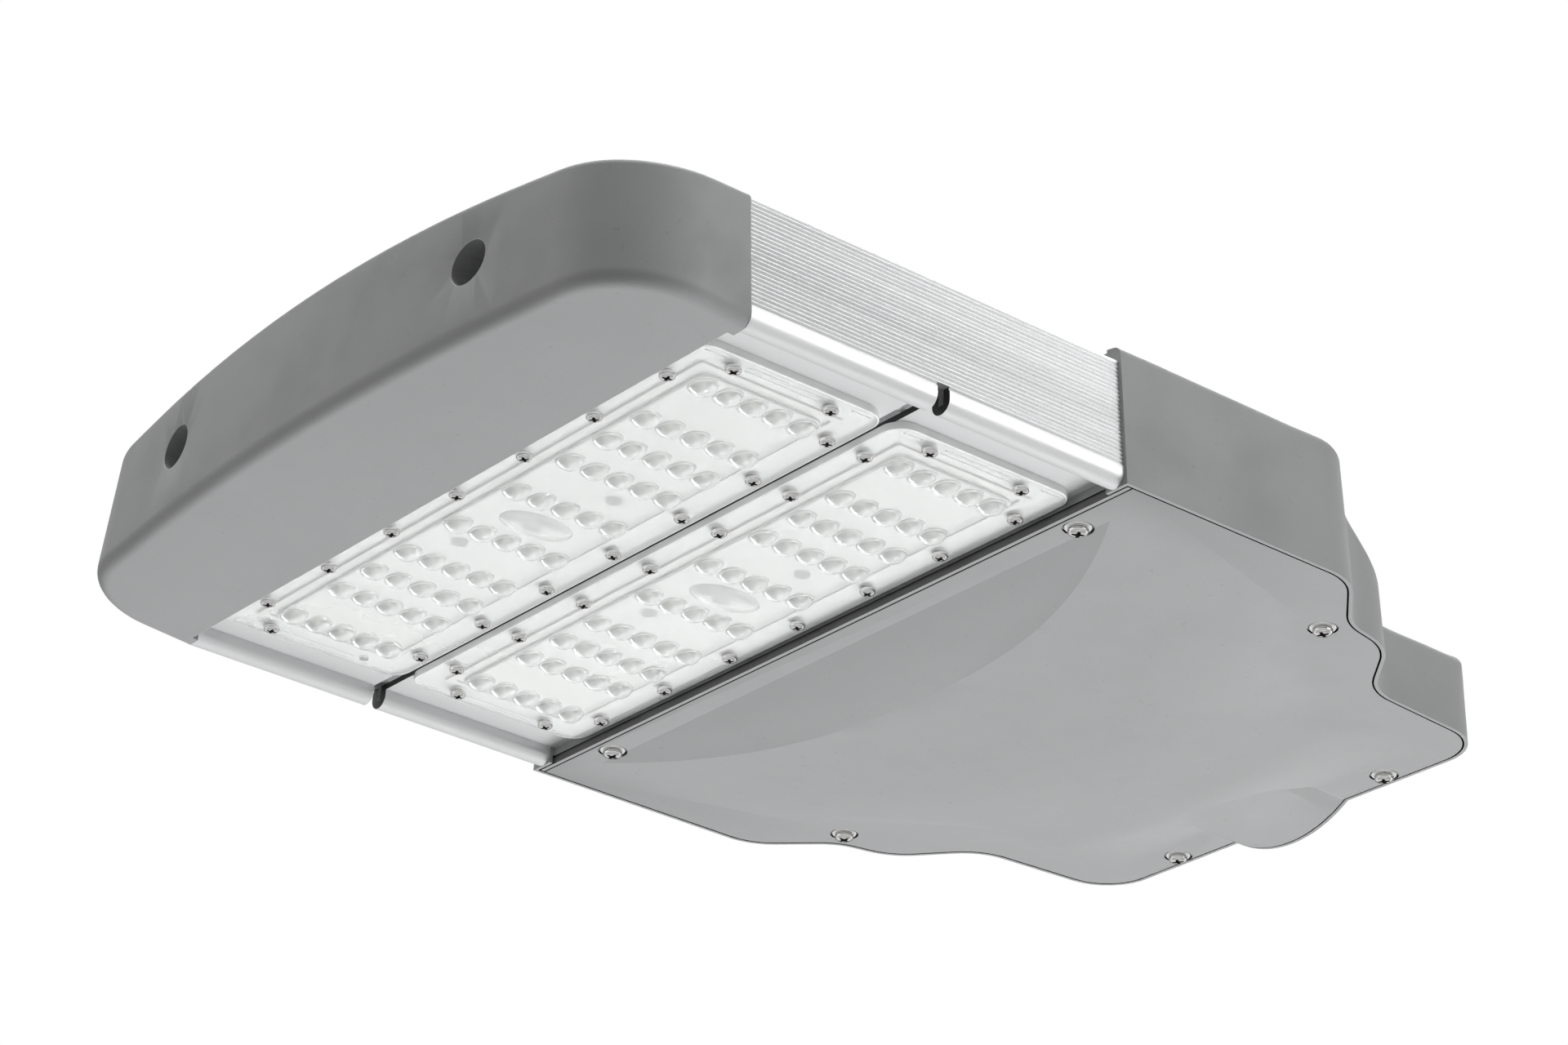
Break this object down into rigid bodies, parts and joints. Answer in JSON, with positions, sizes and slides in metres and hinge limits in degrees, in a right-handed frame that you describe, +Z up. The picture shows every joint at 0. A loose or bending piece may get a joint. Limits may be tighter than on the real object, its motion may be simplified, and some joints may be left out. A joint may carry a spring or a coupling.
{
  "type": "led street light head",
  "caption": "Flat LED street light head with a ribbed heat sink, lens plates facing down, a rounded front cap and a cast driver housing with a pole socket.",
  "frame": {"origin": "centre of the pole socket's mouth, on the rear face of the driver housing", "axes": "+X along the socket out of its mouth towards the pole arm, +Z up, LEDs facing -Z"},
  "size_m": [0.4487, 0.323, 0.0743],
  "materials": {
    "painted_casting": "die cast, fine satin powder coat, mid grey",
    "anodised_aluminium": "extruded, clear anodised",
    "clear_lens": "clear moulded lens plate over a white board",
    "board_white": "white solder mask",
    "led_phosphor": "yellow phosphor",
    "seal_rubber": "matt silicone",
    "cable_rubber": "matt black",
    "stainless_screw": "bright stainless",
    "zinc_steel": "zinc plated",
    "driver_case": "satin",
    "surge_case": "matt",
    "terminal_plastic": "matt",
    "earth_brass": "plain"
  },
  "bodies": {
    "root": {"front_cap": "painted_casting", "cap_screws": "stainless_screw", "heat_sink": "anodised_aluminium", "led_board_front": "board_white", "led_board_rear": "board_white", "led_chips_front": "led_phosphor", "led_chips_rear": "led_phosphor", "lens_plate_front": "clear_lens", "lens_plate_rear": "clear_lens", "lens_gasket_front": "seal_rubber", "lens_gasket_rear": "seal_rubber", "lens_screws_front": "stainless_screw", "lens_screws_rear": "stainless_screw", "board_screws_front": "stainless_screw", "board_screws_rear": "stainless_screw", "cable_seal_front": "cable_rubber", "cable_seal_rear": "cable_rubber", "driver_housing": "painted_casting", "housing_screws": "stainless_screw", "wire_grommet": "cable_rubber", "cover_gasket": "seal_rubber", "housing_cover": "painted_casting", "cover_screws": "stainless_screw", "cover_washers": "stainless_screw", "gear_tray": "zinc_steel", "tray_screws": "zinc_steel", "led_driver": "driver_case", "driver_screws": "zinc_steel", "terminal_screws": "zinc_steel", "surge_screws": "zinc_steel", "surge_protector": "surge_case", "terminal_block": "terminal_plastic", "earth_screw": "earth_brass", "pole_saddle": "zinc_steel", "saddle_bolts": "zinc_steel", "saddle_washers": "zinc_steel"}
  },
  "joints": []
}
